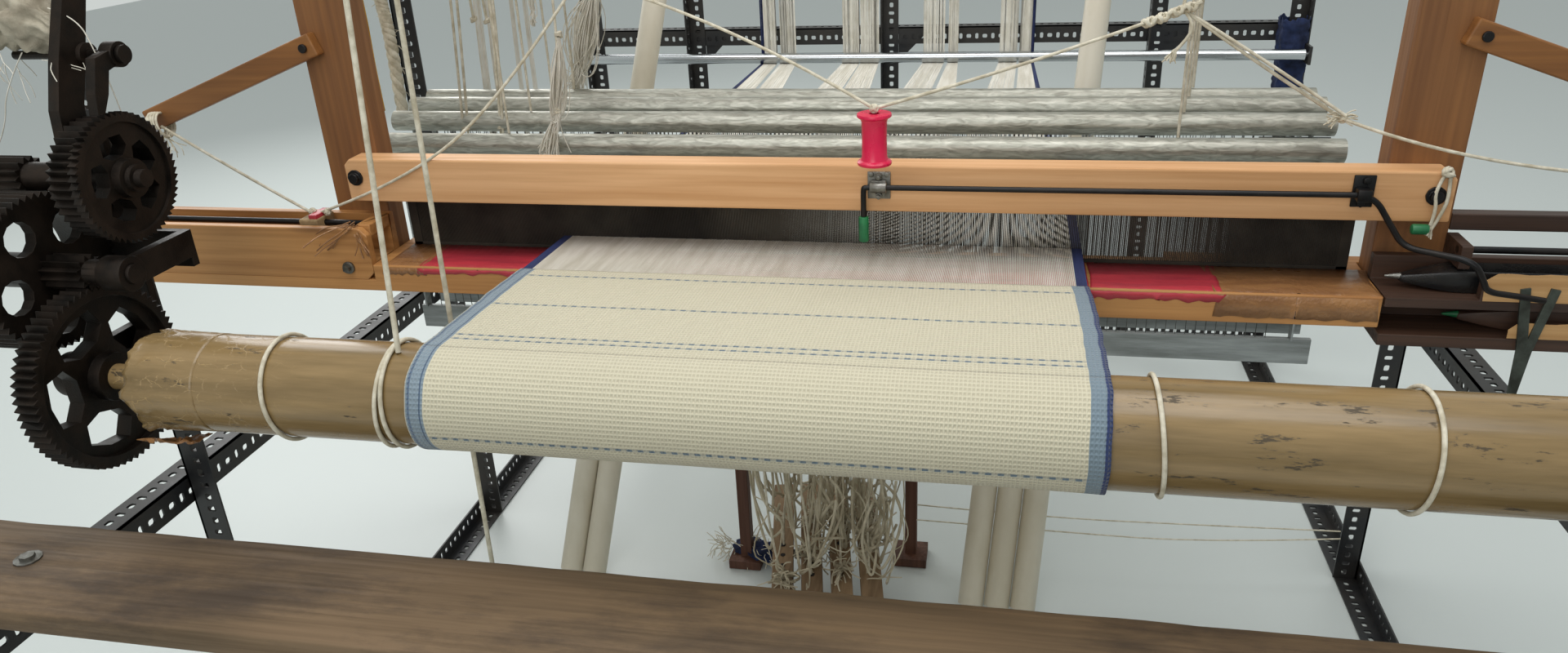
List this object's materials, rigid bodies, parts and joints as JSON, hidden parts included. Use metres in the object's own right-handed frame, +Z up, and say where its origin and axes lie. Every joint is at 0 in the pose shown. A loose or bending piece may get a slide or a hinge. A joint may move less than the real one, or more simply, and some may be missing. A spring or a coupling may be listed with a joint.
{
  "type": "hand loom",
  "caption": "Floor loom for hand weaving on a slotted angle frame: swinging batten with reed and shuttle boxes, heald shafts, treadles, cloth beam with ratchet take-up and warp supply",
  "frame": {"origin": "on the floor in the middle of the loom's outer box", "axes": "+X along the cloth beam to the weaver's right, +Y from the weaver to the back, +Z up"},
  "size_m": [2.09, 2, 1.75],
  "materials": {
    "black_steel": "worn black enamel",
    "plank_wood": "worn and dusty",
    "bolt_steel": "dull",
    "gear_iron": "oily, lightly rusted",
    "beam_wrap": "brown packing tape wound on a pipe",
    "cloth": "cream waffle weave",
    "warp_yarn": "cotton yarn",
    "polished_tube": "polished",
    "beam_wood": "planed",
    "batten_wood": "varnished, worn",
    "reed_steel": "dull grey",
    "dark_rod": "black",
    "picker_hide": "raw hide",
    "shuttle_black": "smooth",
    "shuttle_wood": "polished by use",
    "heald_metal": "foil wrapped, dull",
    "plastic_pipe": "plain",
    "treadle_wood": "rough, dusty",
    "pink_plastic": "moulded",
    "cotton_cord": "twisted"
  },
  "bodies": {
    "frame": {"floor_runners": "black_steel", "front_posts": "black_steel", "inner_posts": "black_steel", "rear_posts": "black_steel", "side_rails": "black_steel", "top_rails": "black_steel", "cross_rails": "black_steel", "rear_uprights": "black_steel", "frame_brackets": "black_steel", "bench_plank": "plank_wood", "bench_bolts": "bolt_steel", "gear_bracket": "gear_iron", "heald_top_board": "beam_wood", "pvc_pipes": "plastic_pipe", "treadle_stand": "treadle_wood", "long_ropes": "cotton_cord", "cloth_sheet": "cloth", "warp_sheet": "warp_yarn", "warp_bands": "warp_yarn"},
    "cloth_roller": {"cloth_beam": "beam_wrap", "cloth_roll": "cloth", "beam_gear": "gear_iron"},
    "idler": {"idler_wheel": "gear_iron", "idler_pinion": "gear_iron"},
    "ratchet": {"ratchet_wheel": "gear_iron", "ratchet_pinion": "gear_iron"},
    "lever": {"pawl_lever": "gear_iron"},
    "catch": {"pawl": "gear_iron"},
    "batten": {"rocking_bar": "beam_wood", "swords": "batten_wood", "sley_cap": "batten_wood", "sley_beam": "batten_wood", "reed": "reed_steel", "left_shuttle_box": "batten_wood", "spindle_left": "dark_rod", "right_box_rails": "batten_wood", "rod_brackets": "bolt_steel", "batten_struts": "batten_wood", "batten_bolts": "bolt_steel", "pick_handle": "pink_plastic", "pick_cords": "cotton_cord"},
    "left_picker": {"picker_left": "picker_hide"},
    "right_picker": {"picker_right": "picker_hide"},
    "shuttle_drop": {"drop_box": "batten_wood", "spindle_right": "dark_rod", "lift_strap": "reed_steel", "shuttle_upper": "shuttle_black", "shuttle_lower": "shuttle_wood"},
    "lifter": {"lift_rod": "bolt_steel"},
    "rest_roller": {"back_rest_tube": "polished_tube"},
    "warp_roller": {"warp_beam": "beam_wood"},
    "shaft_1": {"heald_shaft_1": "heald_metal"},
    "pedal_1": {"treadle_1": "treadle_wood"},
    "shaft_2": {"heald_shaft_2": "heald_metal"},
    "pedal_2": {"treadle_2": "treadle_wood"},
    "shaft_3": {"heald_shaft_3": "heald_metal"},
    "pedal_3": {"treadle_3": "treadle_wood"},
    "shaft_4": {"heald_shaft_4": "heald_metal"},
    "pedal_4": {"treadle_4": "treadle_wood"}
  },
  "joints": [
    {"name": "batten_swing", "type": "hinge", "parent": "frame", "child": "batten", "pos_m": [0, -0.415, 1.66], "axis": [1, 0, 0], "range_deg": [-8, 4]},
    {"name": "cloth_beam_turn", "type": "hinge", "parent": "frame", "child": "cloth_roller", "pos_m": [0, -0.8, 0.7605], "axis": [1, 0, 0], "continuous": true},
    {"name": "idler_turn", "type": "hinge", "parent": "frame", "child": "idler", "pos_m": [-0.85, -0.78395, 0.88245], "axis": [1, 0, 0], "continuous": true},
    {"name": "ratchet_turn", "type": "hinge", "parent": "frame", "child": "ratchet", "pos_m": [-0.8, -0.72994, 0.97598], "axis": [1, 0, 0], "continuous": true},
    {"name": "lever_rock", "type": "hinge", "parent": "frame", "child": "lever", "pos_m": [-0.815, -0.72994, 0.97598], "axis": [1, 0, 0], "range_deg": [-3.4, 6]},
    {"name": "pawl_lift", "type": "hinge", "parent": "lever", "child": "catch", "pos_m": [-0.771, -0.69395, 1.10598], "axis": [1, 0, 0], "range_deg": [-20, 0]},
    {"name": "left_picker_slide", "type": "slide", "parent": "batten", "child": "left_picker", "axis": [1, 0, 0], "range_m": [-0.265, 0.055]},
    {"name": "right_picker_slide", "type": "slide", "parent": "shuttle_drop", "child": "right_picker", "axis": [1, 0, 0], "range_m": [-0.013, 0.012]},
    {"name": "box_lift", "type": "slide", "parent": "batten", "child": "shuttle_drop", "axis": [0, 0, 1], "range_m": [0, 0.045]},
    {"name": "rod_turn", "type": "hinge", "parent": "batten", "child": "lifter", "pos_m": [0, -0.482, 0.901], "axis": [1, 0, 0], "range_deg": [-37, 0]},
    {"name": "rest_tube_turn", "type": "hinge", "parent": "frame", "child": "rest_roller", "pos_m": [0, 0.89, 0.8], "axis": [1, 0, 0], "continuous": true},
    {"name": "warp_beam_turn", "type": "hinge", "parent": "frame", "child": "warp_roller", "pos_m": [0, 0.8427, 1.45], "axis": [1, 0, 0], "continuous": true},
    {"name": "treadle_1_press", "type": "hinge", "parent": "frame", "child": "pedal_1", "pos_m": [0.015, -0.75, 0.036], "axis": [0.9848, 0.1736, 0], "range_deg": [-4, 1.5]},
    {"name": "shaft_1_slide", "type": "slide", "parent": "frame", "child": "shaft_1", "axis": [0, 0, 1], "range_m": [-0.0302, 0.0114]},
    {"name": "treadle_2_press", "type": "hinge", "parent": "frame", "child": "pedal_2", "pos_m": [0.015, -0.75, 0.036], "axis": [0.9848, 0.1736, 0], "range_deg": [-4, 1.5]},
    {"name": "shaft_2_slide", "type": "slide", "parent": "frame", "child": "shaft_2", "axis": [0, 0, 1], "range_m": [-0.0302, 0.0114]},
    {"name": "treadle_3_press", "type": "hinge", "parent": "frame", "child": "pedal_3", "pos_m": [0.015, -0.75, 0.036], "axis": [0.9848, 0.1736, 0], "range_deg": [-4, 1.5]},
    {"name": "shaft_3_slide", "type": "slide", "parent": "frame", "child": "shaft_3", "axis": [0, 0, 1], "range_m": [-0.0302, 0.0114]},
    {"name": "treadle_4_press", "type": "hinge", "parent": "frame", "child": "pedal_4", "pos_m": [0.015, -0.75, 0.036], "axis": [0.9848, 0.1736, 0], "range_deg": [-4, 1.5]},
    {"name": "shaft_4_slide", "type": "slide", "parent": "frame", "child": "shaft_4", "axis": [0, 0, 1], "range_m": [-0.0302, 0.0114]}
  ],
  "couplings": [
    {"joint": "idler_turn", "follows": "cloth_beam_turn", "ratio": -5.8333},
    {"joint": "ratchet_turn", "follows": "cloth_beam_turn", "ratio": 24.167},
    {"joint": "rod_turn", "follows": "box_lift", "rad_per_m": -14.2},
    {"joint": "shaft_1_slide", "follows": "treadle_1_press", "m_per_rad": 0.43},
    {"joint": "shaft_2_slide", "follows": "treadle_2_press", "m_per_rad": 0.43},
    {"joint": "shaft_3_slide", "follows": "treadle_3_press", "m_per_rad": 0.43},
    {"joint": "shaft_4_slide", "follows": "treadle_4_press", "m_per_rad": 0.43}
  ]
}
